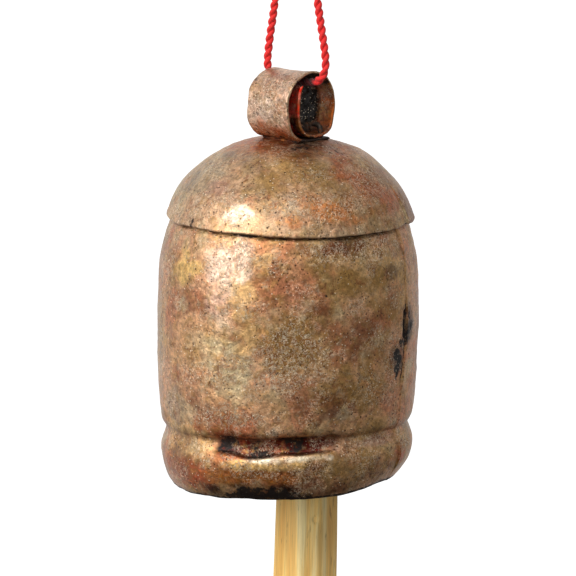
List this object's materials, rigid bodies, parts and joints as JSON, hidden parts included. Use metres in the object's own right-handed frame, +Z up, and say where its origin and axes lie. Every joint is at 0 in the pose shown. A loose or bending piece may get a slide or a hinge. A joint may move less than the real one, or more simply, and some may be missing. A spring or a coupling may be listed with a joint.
{
  "type": "hanging bell",
  "caption": "Small hanging bell of rolled sheet metal with a domed cap, curled strap barrel, twisted cord loop and wooden clapper.",
  "frame": {"origin": "hanging point, where the cord's two strands meet under the knot and rest on a hook or nail", "axes": "+Z up, with the bell hanging below the origin; +X along the strap barrel, towards its near, open end"},
  "size_m": [0.0782, 0.0782, 0.2523],
  "materials": {
    "patina_metal": "hammered sheet with a fired, mottled copper and brass coating",
    "strap_metal": "pale pitted copper and brass coating",
    "braze_metal": "burnt brown filler metal",
    "iron_wire": "dark drawn wire",
    "clapper_wood": "whittled, unvarnished",
    "cord_fibre": "two-ply twisted cord, bright red"
  },
  "bodies": {
    "cord": {"hanging_cord": "cord_fibre", "cord_knot": "cord_fibre"},
    "bell": {"body_shell": "patina_metal", "dome_cap": "patina_metal", "cap_braze": "braze_metal", "hanging_strap": "strap_metal", "strap_braze": "braze_metal", "clapper_staple": "iron_wire"},
    "link": {"clapper_link": "iron_wire"},
    "clapper": {"clapper": "clapper_wood"}
  },
  "joints": [
    {"name": "bell_swing", "type": "hinge", "parent": "cord", "child": "bell", "pos_m": [0, 0, -0.0675], "axis": [1, 0, 0], "range_deg": [-60, 60]},
    {"name": "link_turn", "type": "hinge", "parent": "bell", "child": "link", "pos_m": [0.0042, 0.0055, -0.105], "axis": [0, 0, 1], "range_deg": [-45, 45]},
    {"name": "clapper_swing", "type": "hinge", "parent": "link", "child": "clapper", "pos_m": [0.0042, 0.0055, -0.143], "axis": [0, 1, 0], "range_deg": [-19, 24]}
  ]
}
